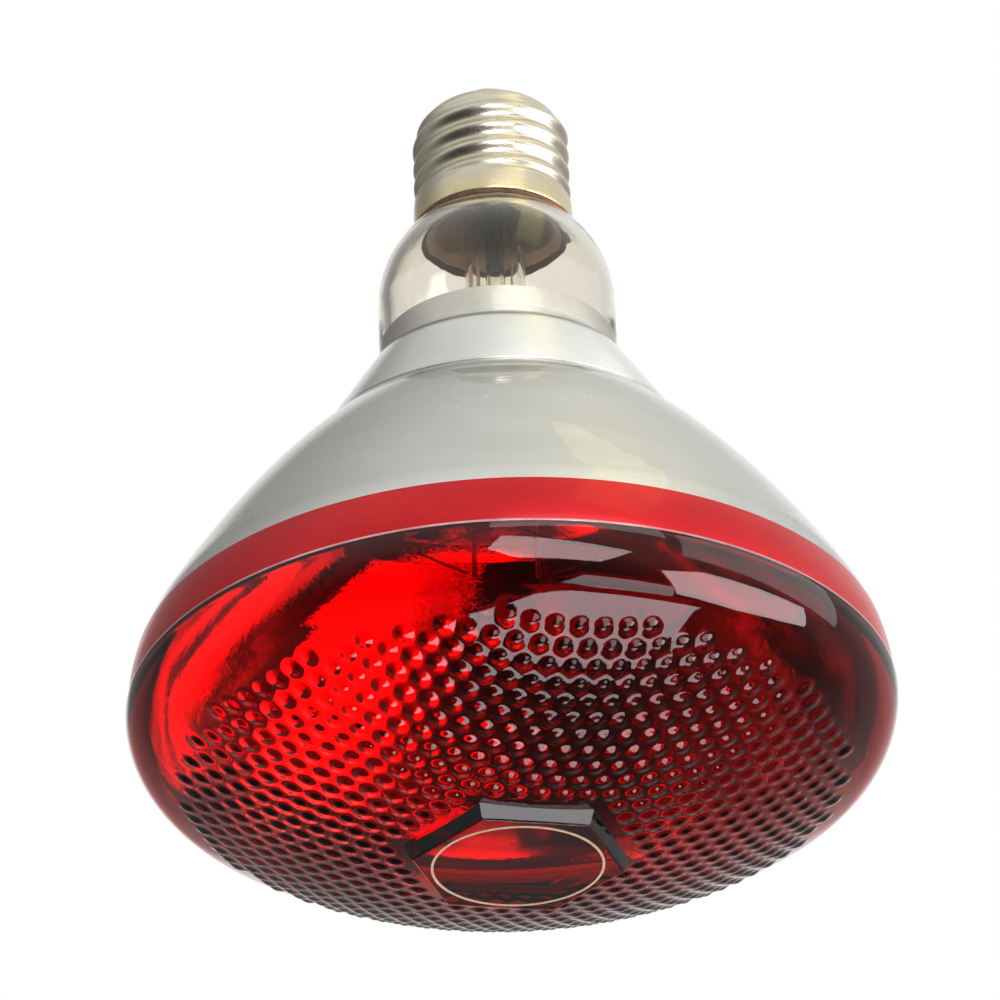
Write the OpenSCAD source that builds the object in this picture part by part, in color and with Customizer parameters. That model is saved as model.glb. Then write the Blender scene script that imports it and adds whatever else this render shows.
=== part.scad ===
// Infrared reflector heat lamp, cap up and lens down, millimetres.
// The lamp's axis is Z. The flat tip of the centre contact lies at z = 0, and
// every level below is a distance down from it.

/* [Screw cap] */
// Diameter over the crests of the rolled thread
thread_d = 26.2; // [25.8:0.1:26.4]
// Depth of the rolled thread, crest to root
thread_depth = 0.95; // [0.6:0.05:1]
// Rise of the thread in one turn
thread_pitch = 3.629; // [3.2:0.01:4]
// Sheet thickness of the shell
shell_t = 0.4; // [0.3:0.05:0.45]
// Diameter of the plain skirt under the thread
skirt_d = 26.5; // [26.4:0.1:27]
// Height of the plain skirt
skirt_h = 4; // [3:0.1:6]
// Level of the shell's lower rim
cap_level = 26.2; // [25.2:0.1:26.4]
// Level of the shell's upper lip
lip_level = 4.3; // [3.8:0.1:5]

/* [Contact end] */
// Diameter of the flat solder tip
solder_d = 4.8; // [3.6:0.1:6]
// Height of the solder tip over the contact plate
solder_h = 0.6; // [0.3:0.1:1]
// Diameter of the contact plate
eyelet_d = 9.8; // [8.5:0.1:11]
// Thickness of the contact plate and its neck
eyelet_t = 0.5; // [0.3:0.1:0.8]
// Bore of the contact plate
eyelet_bore = 2.6; // [2:0.1:3]
// Diameter of the glass insulator where the shell grips it
insulator_d = 18; // [17.6:0.2:19.4]
// Radius of the solder bead that joins the side wire to the rim
bead_r = 1.1; // [0.8:0.1:1.3]
// Place of that bead round the cap, in degrees
bead_turn = -12; // [-60:1:60]

/* [Neck] */
// Diameter of the glass tube inside the cap
tube_d = 22.4; // [20:0.1:22.6]
// Level of the tube's sealed upper end
tube_level = 9; // [8.6:0.1:11]
// Diameter of the clear neck
neck_d = 39.2; // [38.6:0.2:40]
// Level where the round shoulder turns into the neck
shoulder_level = 41.4; // [41.2:0.1:42.4]
// Level of the neck's foot
foot_level = 53.2; // [52:0.1:54.4]
// Level where the mirror film starts
mirror_level = 48.6; // [47.6:0.1:50]
// Glass thickness of neck and reflector
glass_t = 1.8; // [1.4:0.1:2.2]

/* [Reflector] */
// Width of the crease under the neck
crease_w = 2; // [1.6:0.1:2.6]
// Depth of the crease under the neck
crease_depth = 0.6; // [0.3:0.1:0.9]
// Diameter of the collar cone at its top
collar_d = 43; // [42:0.5:45]
// Level of the collar cone's foot
collar_level = 70.6; // [69:0.1:72]
// Step between the collar cone and the dish
collar_step = 0.7; // [0.4:0.1:1]
// Focal length of the dish
focal = 17.2; // [16.6:0.1:18]
// Level of the dish's vertex
vertex_level = 56.5; // [55.6:0.1:57.6]
// Radius that turns the dish into its rim
rim_r = 25; // [20:0.5:28]
// Height of the red edge coat
coat_h = 7.9; // [6:0.1:12]
// Thickness of the mirror film, the red coat and the print
film_t = 0.12; // [0.08:0.02:0.16]

/* [Lens] */
// Largest diameter of the lamp
lens_d = 122.8; // [116:0.2:128]
// Ledge of the lens outside the dish where the two are fused
ledge_w = 0.4; // [0.2:0.1:1]
// Radius of the lens face
face_r = 103; // [96:1:120]
// Radius of the lens edge
edge_r = 11.3; // [10:0.1:13]
// Height of the straight wall between the fused joint and the round edge
lens_wall = 0.5; // [0.3:0.1:3]
// Thickness of the lens
lens_t = 3; // [2.4:0.1:3.6]
// Spacing of the bumps that spread the light
bump_pitch = 3.7; // [3.4:0.05:5]
// Diameter of a bump
bump_d = 3.2; // [2.6:0.1:3.3]
// Height of a bump
bump_h = 0.5; // [0.3:0.05:0.7]
// Plain border from the middles of the outermost bumps to the round edge
border_w = 3.7; // [2.8:0.1:10]
// Width across the flats of the six sided pad
pad_w = 31.4; // [28:0.2:36]
// Height of the pad over the middle of the face
pad_h = 0.9; // [0.6:0.1:1.3]
// Width of the pad's bevel
bevel_w = 1.4; // [0.8:0.1:2]
// Diameter of the printed ring
ring_d = 27; // [22:0.2:27.6]
// Width of the printed ring
ring_w = 0.4; // [0.3:0.1:1]

/* [Stem] */
// Diameter of the stem tube
stem_d = 10; // [9:0.2:11]
// Glass thickness of the stem
stem_t = 1; // [0.8:0.1:1.3]
// Level where the flared stem becomes a straight tube
flare_level = 21; // [18:0.5:24]
// Level where the stem is pressed flat
pinch_level = 46; // [42:0.5:48]
// Height of the pressed part
pinch_h = 11; // [9:0.5:13]
// Thickness of the pressed part
pinch_t = 4; // [3.4:0.1:5]
// Width of the pressed part
pinch_w = 14; // [13.6:0.2:16]
// Diameter of the exhaust tube
exhaust_d = 3.2; // [2.6:0.1:3.6]
// Level of the exhaust tube's closed tip
exhaust_level = 15; // [14:0.5:18]
// Diameter of the button rod
rod_d = 2.4; // [2:0.1:2.8]
// Diameter of the glass button
button_d = 4.6; // [4.2:0.1:5.4]
// Level of the glass button
button_level = 66; // [64:0.5:68]

/* [Filament] */
// Diameter of the supply wires inside the stem
wire_d = 0.6; // [0.4:0.05:0.7]
// Diameter of the thin wire to the rim
side_wire_d = 0.4; // [0.3:0.05:0.4]
// Distance between the supply wires
wire_gap = 5.8; // [5.4:0.1:6.4]
// Diameter of the seal wires
seal_d = 0.5; // [0.4:0.05:0.55]
// Diameter of the wire posts
post_d = 0.9; // [0.7:0.05:1]
// Distance between the posts at the filament
post_gap = 10.4; // [10:0.1:11]
// Diameter of the filament coil
filament_d = 0.8; // [0.6:0.05:0.9]
// Level of the filament's ends
filament_level = 94; // [92:0.5:98]
// Height of the filament's middle over its ends
filament_h = 14; // [11:0.5:15]
// Width of the filament across its side hooks
filament_w = 31; // [28:0.5:33]
// Diameter of the hook wires
hook_d = 0.4; // [0.3:0.05:0.5]

/* [Hidden] */
$fn = 96;

// Gap left between pieces that are laid or cemented side by side
seat_gap = 0.05;
// Distance of the solder bead's middle outside the skirt
bead_out = 0.5;
// Flat part of the shell's lip beside the insulator
lip_flat = 0.2;
// Lap of one formed stretch of the shell into the next
lap = 0.5;
// Steps along an arc, the dish and the red rim of an outline
arc_steps = 8;
dish_steps = 14;
rim_steps = 4;
// Sides of the rolled thread, and its rings along one pitch
thread_sides = 40;
pitch_rings = 7;
// Straight run of a post under the pressed glass
post_run = 2.2;
// Depth by which a bump is rooted in the lens, short of its neighbours
bump_root = 0.15;

thread_r = thread_d / 2;
root_r = thread_r - thread_depth;
skirt_r = skirt_d / 2;
skirt_in = skirt_r - shell_t - 0.3;
skirt_level = cap_level - skirt_h;
lip_r = insulator_d / 2;
shoulder_t = shell_t + 0.3;
shoulder_out = root_r + 0.25;
shoulder_r = shoulder_out - lip_r - lip_flat;
thread_level = lip_level + shoulder_r;
// Radius of the rolled stretch where it ends inside the shoulder and the skirt
thread_head_r = shoulder_out - 0.15;
thread_foot_r = skirt_r - 0.2;
plate_level = solder_h + eyelet_t;
bore_r = eyelet_bore / 2;
eyelet_neck_level = plate_level + 2.3;
plug_level = plate_level + 1.1;

tube_r = tube_d / 2;
tube_in = tube_r - 0.9;
neck_r = neck_d / 2;
neck_in = neck_r - glass_t;
tube_end = shoulder_level - sqrt(neck_r * neck_r - tube_r * tube_r);
cement_level = tube_level + 2;
cement_low = tube_end - 0.2;

collar_r = collar_d / 2;
collar_top = foot_level + crease_w;
inner_foot = foot_level + glass_t * 0.9;
lens_r = lens_d / 2;
dish_r = lens_r - ledge_w;
// The dish's wall turns into its rim where both have this angle from the axis
turn_a = wall_angle(1, 80);
turn_r = dish_r - rim_r + rim_r * cos(turn_a);
turn_level = vertex_level + turn_r * turn_r / (4 * focal);
joint_level = turn_level + rim_r * sin(turn_a);
coat_level = joint_level - coat_h;
// Levels at which the dish's outline is drawn
dish_levels = [for (i = [0 : dish_steps])
    collar_level + collar_step + (coat_level - collar_level - collar_step) * i / dish_steps];
rim_levels = [for (i = [0 : rim_steps]) coat_level + coat_h * i / rim_steps];
below_coat = [for (i = [1 : rim_steps]) rim_levels[i]];
wall_levels = concat(dish_levels, below_coat);

edge_x = lens_r - edge_r;
edge_level = joint_level + lens_wall;
face_centre = edge_level - sqrt(pow(face_r - edge_r, 2) - edge_x * edge_x);
face_level = face_centre + face_r;
edge_turn = atan2(edge_level - face_centre, edge_x);
field_r = face_r * cos(edge_turn) - border_w;
pad_level = face_level + pad_h;
// Height of the pad over the foot of its bevel
pad_drop = pad_h + face_r - sqrt(face_r * face_r - pad_w * pad_w / 4);

stem_r = stem_d / 2;
pinch_foot = pinch_level + pinch_h;
wire_x = wire_gap / 2;
post_x = post_gap / 2;
wire_foot = pinch_level + pinch_h * 0.25;
post_top = pinch_level + pinch_h * 0.7;
filament_x = filament_w / 2;
filament_mid = filament_level - filament_h * 0.4;
filament_y = 3;
eye_r = filament_d / 2 + hook_d + 0.2;
side_eye_r = eye_r * 1.35;

// A point of a revolved outline at a radius and a level
function at(r, level) = [r, -level];
// Points on an arc about [r, level], 0 degrees outward and 90 down
function arc(r, level, radius, a, b) =
    [for (i = [0 : arc_steps]) let (t = a + (b - a) * i / arc_steps)
        at(r + radius * cos(t), level + radius * sin(t))];
function reversed(list) = [for (i = [len(list) - 1 : -1 : 0]) list[i]];
function fade(x) = x <= 0 ? 0 : x >= 1 ? 1 : x * x * (3 - 2 * x);

// Angle at which a paraboloid of the dish's focal length meets the rim's arc smoothly
function wall_angle(low, high) =
    let (mid = (low + high) / 2)
    high - low < 0.001 ? mid
    : (dish_r - rim_r) * tan(mid) + rim_r * sin(mid) > 2 * focal ? wall_angle(low, mid)
    : wall_angle(mid, high);
// A point of the dish's outside at a level, moved in square to the wall by inset
function dish_at(level, inset) =
    let (on_rim = level > turn_level, up = joint_level - level,
         r = on_rim ? dish_r - rim_r + sqrt(rim_r * rim_r - up * up)
             : sqrt(4 * focal * (level - vertex_level)),
         lean = on_rim ? asin(up / rim_r) : atan(2 * focal / r))
    at(r - inset * cos(lean), level + inset * sin(lean));
// Inner wall of neck, collar and dish from a level down to the joint
function inner_wall(top, inset) = concat(
    [at(neck_in - inset, top), at(neck_in - inset, inner_foot),
     at(collar_r - glass_t - inset, inner_foot + crease_w)],
    [for (level = wall_levels) dish_at(level, glass_t + inset)]);

module revolve(points) {
    rotate_extrude(convexity = 6) polygon(points);
}

// A round wire that runs straight from point to point, with slightly fuller bends
module wire(points, d) {
    for (i = [0 : len(points) - 2]) {
        run = points[i + 1] - points[i];
        translate(points[i])
            rotate([0, acos(run[2] / norm(run)), atan2(run[1], run[0])])
                cylinder(d = d, h = norm(run));
        if (i > 0) translate(points[i]) sphere(d = d * 1.06);
    }
}

// Radius of the rolled shell: a right handed wave along the cap that fades
// into the round shoulder above and the plain skirt below
function wave_r(angle, level) =
    let (top = fade((level - thread_level - lap) / thread_pitch * 2),
         low = fade((skirt_level - level) / thread_pitch * 2),
         crest = (1 - cos(360 * level / thread_pitch + angle + 68)) / 2,
         wave = root_r + thread_depth * crest)
    thread_head_r * (1 - top) + wave * top * low + thread_foot_r * (1 - low);

module rolled_thread() {
    n = thread_sides;
    top = thread_level;
    long = skirt_level + lap - top;
    rings = ceil(long / thread_pitch * pitch_rings);
    points = [for (inset = [0, shell_t]) for (i = [0 : rings]) for (j = [0 : n - 1])
        let (level = top + long * i / rings, angle = 360 * j / n,
             r = wave_r(angle, level) - inset)
        [r * cos(angle), r * sin(angle), -level]];
    function id(skin, i, j) = skin * (rings + 1) * n + i * n + j % n;
    outer = [for (i = [0 : rings - 1]) for (j = [0 : n - 1]) each [
        [id(0, i, j), id(0, i + 1, j + 1), id(0, i + 1, j)],
        [id(0, i, j), id(0, i, j + 1), id(0, i + 1, j + 1)]]];
    inner = [for (i = [0 : rings - 1]) for (j = [0 : n - 1]) each [
        [id(1, i, j), id(1, i + 1, j), id(1, i + 1, j + 1)],
        [id(1, i, j), id(1, i + 1, j + 1), id(1, i, j + 1)]]];
    ends = [for (j = [0 : n - 1]) each [
        [id(0, 0, j), id(1, 0, j), id(1, 0, j + 1)],
        [id(0, 0, j), id(1, 0, j + 1), id(0, 0, j + 1)],
        [id(0, rings, j), id(1, rings, j + 1), id(1, rings, j)],
        [id(0, rings, j), id(0, rings, j + 1), id(1, rings, j + 1)]]];
    polyhedron(points, concat(outer, inner, ends), convexity = 8);
}

module shoulder() {
    x = shoulder_out - shoulder_r;
    level = lip_level + shoulder_r;
    revolve(concat(
        [at(lip_r + seat_gap, lip_level)],
        arc(x, level, shoulder_r, -90, 0),
        [at(shoulder_out, thread_level + lap),
         at(shoulder_out - shoulder_t, thread_level + lap)],
        arc(x, level, shoulder_r - shoulder_t, 0, -90),
        [at(lip_r + seat_gap, lip_level + shoulder_t)]));
}

// Where the side wire comes out under the rim, along +X before the turn
module rim_notch() {
    rotate(bead_turn) translate([skirt_in - 1, -side_wire_d * 1.5, -cap_level - 1])
        cube([3, side_wire_d * 3, 1.8]);
}

module skirt() {
    difference() {
        translate([0, 0, -cap_level]) cylinder(r = skirt_r, h = skirt_h);
        translate([0, 0, -cap_level - 1]) cylinder(r = skirt_in, h = skirt_h + 2);
        rim_notch();
    }
}

module screw_shell() {
    color("tan") {
        rolled_thread();
        shoulder();
        skirt();
    }
}

module insulator() {
    hold = lip_level + shoulder_t + seat_gap;
    neck = bore_r + eyelet_t + seat_gap;
    grip = arc(lip_r + lip_flat, thread_level, thread_level - hold, -90, -12);
    color([0.12, 0.12, 0.13]) revolve(concat(
        [at(neck, plate_level), at(eyelet_d / 2 + 0.3, plate_level),
         at(eyelet_d / 2 + 1, plate_level + 0.9), at(lip_r - 0.5, lip_level - 0.5),
         at(lip_r, lip_level), at(lip_r, hold)],
        grip,
        [grip[arc_steps] - [1.8, 0], at(lip_r - 1, hold),
         at(neck, eyelet_neck_level + 0.4)]));
}

module contact_eyelet() {
    color("goldenrod") revolve([
        at(bore_r, solder_h), at(eyelet_d / 2 - 0.3, solder_h),
        at(eyelet_d / 2, solder_h + 0.2), at(eyelet_d / 2, plate_level),
        at(bore_r + eyelet_t, plate_level), at(bore_r + eyelet_t, eyelet_neck_level),
        at(bore_r, eyelet_neck_level)]);
}

module contact_solder() {
    color("silver") revolve([
        at(0, 0), at(solder_d / 2 - 0.4, 0), at(solder_d / 2, solder_h * 0.6),
        at(solder_d / 2, solder_h), at(bore_r, solder_h), at(bore_r, plug_level),
        at(0, plug_level)]);
}

module lead_centre() {
    color("peru") wire([
        [0, 0, -plug_level], [0, 0, -tube_level + 0.5], [-wire_x, 0, -exhaust_level + 1],
        [-wire_x, 0, -wire_foot]], wire_d);
}

// The side wire climbs out of the stem, turns over the sealed tube end and
// runs down between tube and shell to the rim
module lead_side() {
    over = tube_level - 1.2;
    beside = tube_r + seat_gap + side_wire_d / 2;
    turn = [cos(bead_turn), sin(bead_turn), 0];
    color("peru") wire([
        (skirt_r + bead_out) * turn + [0, 0, -cap_level - bead_r / 2],
        beside * turn + [0, 0, -cement_low + 0.2],
        beside * turn + [0, 0, -over],
        [wire_x + 1, 0, -over],
        [wire_x, 0, -exhaust_level + 1],
        [wire_x, 0, -wire_foot]], side_wire_d);
}

module glass_ball() {
    translate([0, 0, -shoulder_level]) sphere(r = neck_r + seat_gap, $fn = 360);
}

// The bead hangs from the end of the side wire, just under the rim
module rim_solder() {
    color("dimgray") difference() {
        rotate(bead_turn) translate([skirt_r + bead_out, 0, -cap_level - bead_r - 0.1])
            sphere(r = bead_r);
        glass_ball();
        lead_side();
    }
}

module basing_cement() {
    inner = tube_r + seat_gap;
    thread_in = root_r - shell_t - seat_gap;
    color([0.62, 0.5, 0.38]) difference() {
        revolve([
            at(inner, cement_level), at(thread_in, cement_level),
            at(thread_in, skirt_level + lap + seat_gap),
            at(skirt_in - seat_gap, skirt_level + lap + seat_gap),
            at(skirt_in - seat_gap, cement_low), at(inner, cement_low)]);
        rotate(bead_turn) translate([inner - 0.1, -side_wire_d / 2 - seat_gap, -cap_level])
            cube([2, side_wire_d + 2 * seat_gap, cap_level]);
    }
}

module reflector_glass() {
    outer = concat(
        [at(tube_in, tube_level), at(tube_r, tube_level)],
        arc(0, shoulder_level, neck_r, -acos(tube_r / neck_r), 0),
        [at(neck_r, foot_level),
         at(neck_r - crease_depth, foot_level + crease_w * 0.4),
         at(neck_r - crease_depth * 0.6, foot_level + crease_w * 0.7),
         at(collar_r, collar_top),
         at(dish_at(collar_level + collar_step, 0)[0] - collar_step, collar_level)],
        [for (level = wall_levels) dish_at(level, 0)]);
    inner = concat(
        arc(0, shoulder_level, neck_in, -acos(tube_in / neck_in), 0),
        inner_wall(mirror_level, 0));
    color("lightgray", 0.5) revolve(concat(outer, reversed(inner)));
}

module mirror_film() {
    color("whitesmoke") revolve(concat(
        inner_wall(mirror_level, 0), reversed(inner_wall(mirror_level, film_t))));
}

module red_edge_coat() {
    color([0.75, 0.12, 0.12]) revolve(concat(
        [for (level = rim_levels) dish_at(level, 0)],
        reversed([for (level = rim_levels) dish_at(level, -film_t)])));
}

// Half outline of the solid under a lens face, shrunk by t
module lens_outline(t) {
    intersection() {
        polygon(concat(
            [at(0, joint_level - t), at(lens_r - t, joint_level - t)],
            arc(edge_x, edge_level, edge_r - t + 0.04, 0, edge_turn),
            [at(edge_x, face_level + edge_r), at(0, face_level + edge_r)]));
        translate(at(0, face_centre)) circle(r = face_r - t, $fn = 720);
    }
}

// A low round bump, its base circle level with the face
module bump() {
    r = (bump_h * bump_h + bump_d * bump_d / 4) / (2 * bump_h);
    rotate_extrude($fn = 24) intersection() {
        translate([0, bump_h - r]) circle(r = r, $fn = 48);
        translate([0, -bump_root]) square([bump_d, bump_root + bump_h]);
    }
}

// Lattice points of the bumped field, clear of the six sided pad
row_h = bump_pitch * sqrt(3) / 2;
field_n = ceil(field_r / row_h) + 1;
function pad_reach(x, y) = max([for (a = [30 : 60 : 330]) x * cos(a) + y * sin(a)]);
spots = [for (j = [-field_n : field_n]) for (i = [-field_n : field_n])
    let (x = (i + (abs(j) % 2) / 2) * bump_pitch, y = j * row_h)
    if (norm([x, y]) < field_r && pad_reach(x, y) > (pad_w + bump_d) / 2 + 0.4) [x, y]];

// The six sided pad, its bevel running from the flat top to the lens face
module pad() {
    difference() {
        translate([0, 0, -pad_level])
            cylinder(r = pad_w / sqrt(3) + 1, h = pad_h + lens_t - 0.7, $fn = 6);
        for (a = [30 : 60 : 330])
            rotate(a) translate([pad_w / 2, 0, -pad_level + pad_drop])
                rotate([0, atan(bevel_w / pad_drop), 0]) translate([0, -pad_w, -pad_w])
                    cube([pad_w, 2 * pad_w, 2 * pad_w]);
    }
}

module lens() {
    color([0.7, 0.05, 0.05]) union() {
        rotate_extrude($fn = 180) difference() {
            lens_outline(0);
            lens_outline(lens_t);
        }
        pad();
        translate([0, 0, -face_centre]) for (spot = spots)
            rotate([0, 180 - asin(norm(spot) / face_r), atan2(spot[1], spot[0])])
                translate([0, 0, face_r]) bump();
    }
}

module print_ring() {
    color("tan") translate([0, 0, -pad_level - film_t]) difference() {
        cylinder(d = ring_d + ring_w, h = film_t);
        translate([0, 0, -1]) cylinder(d = ring_d - ring_w, h = 2 + film_t);
    }
}

module seal_wires() {
    color("brown") for (side = [-1, 1])
        translate([side * wire_x, 0, -post_top]) cylinder(d = seal_d, h = post_top - wire_foot);
}

// A post leaves the pressed glass straight and then spreads to the filament's end
module post(side) {
    color("gray") wire([
        [side * wire_x, 0, -post_top], [side * wire_x, 0, -pinch_foot - post_run],
        [side * post_x, 0, -pinch_foot - 4 * post_run],
        [side * post_x, 0, -filament_level - 1]], post_d);
}

module post_left() {
    post(-1);
}

module post_right() {
    post(1);
}

module stem_glass() {
    waist = stem_r + 1.2;
    color("honeydew", 0.6) difference() {
        union() {
            revolve([
                at(tube_r, tube_level), at(tube_r - 0.3, tube_level - 0.8),
                at(tube_in - 1, tube_level - 0.6), at(tube_in - 2.4, tube_level + 1.6),
                at(waist - stem_t, flare_level - 4), at(stem_r - stem_t, flare_level),
                at(stem_r - stem_t, pinch_level), at(0, pinch_level),
                at(0, pinch_level + stem_r * 0.6), at(stem_r * 0.7, pinch_level + stem_r * 0.5),
                at(stem_r, pinch_level), at(stem_r, flare_level), at(waist, flare_level - 3.6),
                at(tube_in - 1.6, tube_level + 2.4), at(tube_in - 0.2, tube_level)]);
            translate([0, 0, -pinch_foot]) linear_extrude(pinch_h - 0.5) {
                square([pinch_w - pinch_t, pinch_t], center = true);
                for (side = [-1, 1]) translate([side * (pinch_w - pinch_t) / 2, 0])
                    circle(d = pinch_t);
            }
        }
        lead_centre();
        lead_side();
        seal_wires();
        post(-1);
        post(1);
    }
}

module exhaust_tube() {
    r = exhaust_d / 2;
    color("honeydew", 0.6) revolve([
        at(0, exhaust_level), at(r * 0.6, exhaust_level + 0.6), at(r, exhaust_level + 2),
        at(r, pinch_level), at(r - 0.6, pinch_level), at(r - 0.6, exhaust_level + 3),
        at(0, exhaust_level + 2)]);
}

// The filament is hung as a bow: up from one post to a side hook, over the
// middle hook, and down by the other side hook to the other post
function bow(side) = [side * filament_x, -filament_y / 2, -filament_mid];
bow_top = [0, -filament_y, filament_h - filament_level];

module filament() {
    end = post_x + post_d / 2 + filament_d / 2 + seat_gap;
    color("darkgray") wire([
        [-end, 0, -filament_level], bow(-1), bow_top, bow(1),
        [end, 0, -filament_level]], filament_d);
}

module eye(r) {
    rotate_extrude() translate([r, 0]) circle(d = hook_d, $fn = 24);
}

module hook_wires() {
    start = [0, 0, -button_level];
    color("slategray") {
        for (side = [-1, 1]) {
            inward = [-side * side_eye_r * 0.4, 0, 0];
            translate(bow(side) + inward) eye(side_eye_r);
            wire([start + [side * 1.2, 1.3, -0.6],
                bow(side) + inward + [0, side_eye_r, 0]], hook_d);
        }
        translate(bow_top) rotate([0, 90, 0]) eye(eye_r);
        wire([start + [0, -0.6, -1.2], bow_top + [0, 0, eye_r]], hook_d);
    }
}

module hook_button() {
    color("honeydew", 0.6) difference() {
        union() {
            translate([0, 0, -button_level]) sphere(d = button_d);
            translate([0, 0, -button_level]) cylinder(d = rod_d, h = button_level - pinch_foot);
        }
        hook_wires();
    }
}

screw_shell();
insulator();
contact_eyelet();
contact_solder();
rim_solder();
basing_cement();
reflector_glass();
mirror_film();
red_edge_coat();
lens();
print_ring();
stem_glass();
exhaust_tube();
lead_centre();
lead_side();
seal_wires();
post_left();
post_right();
filament();
hook_wires();
hook_button();
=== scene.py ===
"""Looks of the infrared heat lamp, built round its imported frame.

Lengths are in millimetres and levels are distances down from the tip of the
centre contact, as in the part's source. Meshes are made in metres.
"""
import math

import bmesh
import bpy
import numpy as np
from mathutils import Matrix, Vector


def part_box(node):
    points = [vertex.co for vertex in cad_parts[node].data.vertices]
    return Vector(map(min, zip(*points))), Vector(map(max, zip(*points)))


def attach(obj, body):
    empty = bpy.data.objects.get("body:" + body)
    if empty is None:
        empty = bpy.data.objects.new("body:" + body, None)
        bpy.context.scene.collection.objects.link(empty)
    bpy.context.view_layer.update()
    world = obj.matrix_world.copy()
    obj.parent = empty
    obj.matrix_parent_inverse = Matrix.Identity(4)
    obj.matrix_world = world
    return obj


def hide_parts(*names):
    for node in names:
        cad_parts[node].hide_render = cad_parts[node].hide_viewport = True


MM = 0.001
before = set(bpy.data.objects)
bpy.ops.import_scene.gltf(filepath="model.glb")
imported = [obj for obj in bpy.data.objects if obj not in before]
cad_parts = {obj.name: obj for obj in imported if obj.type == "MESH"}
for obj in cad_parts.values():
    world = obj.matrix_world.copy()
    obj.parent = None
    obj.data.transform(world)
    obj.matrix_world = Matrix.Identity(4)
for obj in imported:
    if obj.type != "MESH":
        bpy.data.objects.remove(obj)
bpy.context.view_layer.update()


def levels(node):
    """Upper and lower level of a CAD node."""
    low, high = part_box(node)
    return -high.z / MM, -low.z / MM


def radius(node):
    """Outer radius of a round CAD node."""
    low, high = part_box(node)
    return (high.x - low.x) / 2 / MM


# Sizes taken from the frame
LIP_LEVEL, CAP_LEVEL = levels("screw_shell")
SKIRT_R = radius("screw_shell")
INSULATOR_LEVEL = levels("insulator")[0]
PLATE_R = radius("contact_eyelet")
TUBE_LEVEL, JOINT_LEVEL = levels("reflector_glass")
DISH_R = radius("reflector_glass")
COAT_LEVEL = levels("red_edge_coat")[0]
MIRROR_LEVEL = levels("mirror_film")[0]
LENS_R = radius("lens")
PAD_LEVEL = levels("lens")[1]

# Screw cap: the shell, its thread and its hem
THREAD_R = 13.1
THREAD_DEPTH = 0.95
THREAD_PITCH = 3.629
THREAD_TURN = 68
THREAD_START = 0.9
ROOT_R = THREAD_R - THREAD_DEPTH
SHELL_T = 0.4
SHOULDER_H = 4.6
SKIRT_H = 4
SKIRT_LEVEL = CAP_LEVEL - SKIRT_H
SKIRT_EASE = 0.05
HEM_TOP = 0.5
HEM_H = 0.6
LIP_R = 9.05
LIP_EDGE = 0.1

# The insulator round the contact plate
EYELET_BORE = 1.3
EYELET_T = 0.55
INSULATOR_GAP = 0.05
INSULATOR_DEPTH = 1.2
INSULATOR_STEP = 0.45

# The solder bead: where it sits on the rim, and its half sizes
BEAD_TURN = -16
BEAD_OUT = 0.45
BEAD_DOWN = 0.75
BEAD_LONG = 1.9
BEAD_HIGH = 0.9
BEAD_DEEP = 1.0

# Basing cement: how far it reaches into the glass, over the tube's end, round the leads and
# out under the rim
CEMENT_WET = 0.05
CEMENT_TOP = 2
CEMENT_BORE = 0.9
CEMENT_BULGE = 0.08

# Neck and dish
TUBE_R = 11.2
TUBE_T = 0.9
NECK_R = 19.6
SHOULDER_LEVEL = 41.4
FOOT_LEVEL = 53.2
GLASS_T = 1.8
CREASE_W = 2
CREASE_DEPTH = 0.6
CREASE_ROUND = 0.7
COLLAR_R = 21.5
COLLAR_LEVEL = 70.6
COLLAR_STEP = 0.7
COLLAR_LEAN = 4.3
COLLAR_HEM = 1.2
COLLAR_LIP = 0.5
COLLAR_TIP = 0.2
# Level of the crease on the bulb's inside
INNER_FOOT = FOOT_LEVEL + 0.9 * GLASS_T
GROOVE_H = 1.0
GROOVE_DEPTH = 0.8
GROOVE_ROUND = 0.4
FOCAL = 17.2
VERTEX_LEVEL = 56.5
RIM_CURVE = 25
FILM_T = 0.12
# How far the film's outer side is set into the glass, so that the two faces don't fight
FILM_SINK = 0.06

# Filament: half its ends' distance, half its width, and the levels of its ends, sides and top
FILAMENT_END = 6.1
FILAMENT_X = 15.5
FILAMENT_LEVEL = 94
FILAMENT_SIDE = 88.4
FILAMENT_TOP = 80
# How far its sides and its top lean to the front, and the reach over which its bends are soft
FILAMENT_SIDE_LEAN = 1.5
FILAMENT_TOP_LEAN = 3
FILAMENT_BEND = 1.6
FILAMENT_R = 0.4
COIL_WIRE = 0.09
COIL_PITCH = 0.32
COIL_STEPS = 12
COIL_SIDES = 6

# Lens
FACE_CURVE = 103
PAD_H = 0.9
PAD_W = 31.4
PAD_ROUND = 0.25
BEVEL_W = 1.0
BEVEL_START = 0.08
BEVEL_STEEP = 1.02
EDGE_CURVE = 11.3
LENS_T = 3
BORDER_W = 3.7
BUMP_PITCH = 3.7
BUMP_D = 3.2
BUMP_SOFT_H = 0.42
BUMP_MARGIN = 0.4
LEDGE_ROUND = 0.3
JOINT_LINE = 0.55
FACE_LEVEL = PAD_LEVEL - PAD_H
FACE_CENTRE = FACE_LEVEL - FACE_CURVE
EDGE_X = LENS_R - EDGE_CURVE
EDGE_TURN = math.acos(EDGE_X / (FACE_CURVE - EDGE_CURVE))
EDGE_LEVEL = FACE_CENTRE + (FACE_CURVE - EDGE_CURVE) * math.sin(EDGE_TURN)
FACE_END = FACE_CURVE * math.cos(EDGE_TURN)
FIELD_R = FACE_END - BORDER_W
# Radii at which the bumps have run out and the smooth border starts
FIELD_END = FIELD_R + BUMP_D / 2 + 0.2
BORDER_START = FIELD_END + 0.15
# The lens's rings turn from six sided to round up to this radius, and follow at this step
HEX_END = 24
RING_STEP = 0.36

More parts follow.
